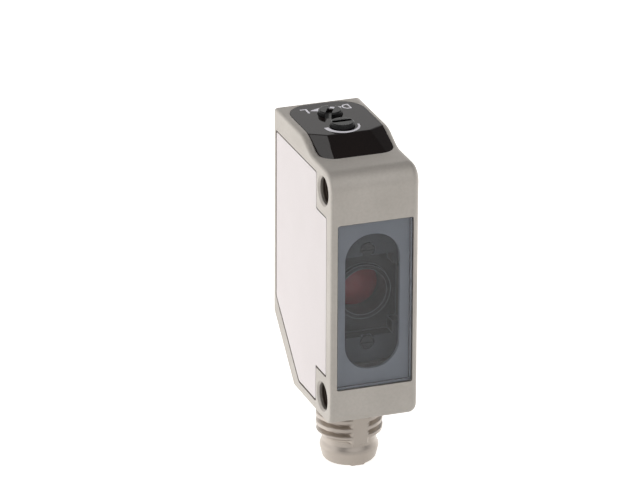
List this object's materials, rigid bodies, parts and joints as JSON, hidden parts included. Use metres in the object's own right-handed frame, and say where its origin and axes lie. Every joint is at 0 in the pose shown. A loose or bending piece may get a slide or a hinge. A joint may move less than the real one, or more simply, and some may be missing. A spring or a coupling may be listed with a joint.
{
  "type": "photoelectric sensor",
  "caption": "Miniature photoelectric sensor in a metal case with a recessed front window, top display with turning adjusters, side holes and a threaded plug.",
  "frame": {"origin": "on the mounting side face, midway between the axes of the two through holes for M3 screws", "axes": "+X out of the mounting side, away from the labelled cover; -Y is where the sensor looks; +Z from the plug towards the display on top"},
  "size_m": [0.0108, 0.0195, 0.0407],
  "materials": {
    "stainless_steel": "bead-blasted satin",
    "label_film": "satin white polyester film",
    "tinted_acrylic": "polished, smoke tinted",
    "mask_plastic": "fine matt",
    "black_plastic": "moulded, matt",
    "red_lens": "polished, red tinted",
    "display_plastic": "polished, translucent black",
    "knob_plastic": "moulded, satin",
    "seal_rubber": "matt",
    "circuit_board": "solder resist",
    "chip_epoxy": "moulded epoxy",
    "tin_plate": "bright tin plate",
    "gold_plate": "gold plated",
    "rotor_plastic": "moulded, satin",
    "green_led": "clear moulded",
    "orange_led": "clear moulded",
    "lead_jacket": "extruded insulation"
  },
  "bodies": {
    "housing": {"case": "stainless_steel", "side_cover": "stainless_steel", "side_label": "label_film", "front_window": "tinted_acrylic", "window_mask": "mask_plastic", "optics_holder": "black_plastic", "receiver_lens": "red_lens", "holder_screw_lower": "tin_plate", "holder_screw_upper": "tin_plate", "optics_board": "circuit_board", "photodiode": "chip_epoxy", "shield_can": "tin_plate", "amplifier_ic": "chip_epoxy", "main_board": "circuit_board", "control_ic": "chip_epoxy", "output_transistor": "chip_epoxy", "supply_regulator": "chip_epoxy", "supply_capacitor": "tin_plate", "display_board": "circuit_board", "operation_led": "orange_led", "stability_led": "green_led", "display_window": "display_plastic", "display_gasket": "seal_rubber", "sensitivity_base": "black_plastic", "mode_base": "black_plastic", "plug_shell": "stainless_steel", "plug_seal": "seal_rubber", "plug_lock_ring": "stainless_steel", "plug_insert": "black_plastic", "contact_pin_1": "gold_plate", "pin_lead_1": "lead_jacket", "contact_pin_2": "gold_plate", "pin_lead_2": "lead_jacket", "contact_pin_3": "gold_plate", "pin_lead_3": "lead_jacket", "contact_pin_4": "gold_plate", "pin_lead_4": "lead_jacket"},
    "sensitivity_adjuster": {"sensitivity_knob": "knob_plastic", "sensitivity_rotor": "rotor_plastic", "sensitivity_oring": "seal_rubber"},
    "mode_selector": {"mode_knob": "knob_plastic", "mode_rotor": "rotor_plastic", "mode_oring": "seal_rubber"}
  },
  "joints": [
    {"name": "sensitivity_turn", "type": "hinge", "parent": "housing", "child": "sensitivity_adjuster", "pos_m": [-0.0054, 0.0084, 0.0168], "axis": [0, 0, 1], "range_deg": [-120, 120]},
    {"name": "mode_turn", "type": "hinge", "parent": "housing", "child": "mode_selector", "pos_m": [-0.0054, 0.0125, 0.0168], "axis": [0, 0, 1], "range_deg": [-25, 85]}
  ]
}
